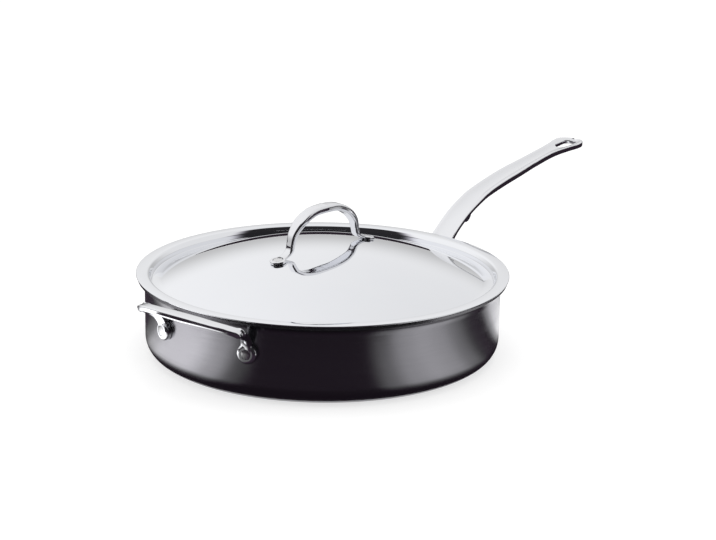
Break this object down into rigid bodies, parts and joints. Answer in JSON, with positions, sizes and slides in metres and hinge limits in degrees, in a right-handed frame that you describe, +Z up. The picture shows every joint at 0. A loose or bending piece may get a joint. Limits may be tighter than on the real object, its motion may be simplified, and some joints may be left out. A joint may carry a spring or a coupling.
{
  "type": "braising pan",
  "caption": "Wide, straight-walled braising pan with a dark outer shell, a steel lining, a riveted long handle, a looped helper handle and a low-domed lid with an arched handle.",
  "frame": {"origin": "centre of the pan's flat underside", "axes": "+X along the long handle, away from the pan; +Z up, out of the pan's mouth; the helper handle is on the -X side"},
  "size_m": [0.5663, 0.3186, 0.1287],
  "materials": {
    "dark_shell": "dark, polished outer skin on an aluminium core",
    "satin_steel": "circular satin brushing",
    "cast_steel": "polished cast stainless steel",
    "polished_steel": "mirror polish",
    "rivet_steel": "satin"
  },
  "bodies": {
    "pan": {"pan_shell": "dark_shell", "pan_lining": "satin_steel", "long_handle": "cast_steel", "long_handle_rivet_left": "rivet_steel", "long_handle_rivet_right": "rivet_steel", "helper_handle": "cast_steel", "helper_rivet_left": "rivet_steel", "helper_rivet_right": "rivet_steel"},
    "lid": {"lid_shell": "polished_steel", "lid_handle": "cast_steel", "lid_rivet_front": "rivet_steel", "lid_rivet_back": "rivet_steel"}
  },
  "joints": [
    {"name": "lid_lift", "type": "slide", "parent": "pan", "child": "lid", "axis": [0, 0, 1], "range_m": [0, 0.15]}
  ]
}
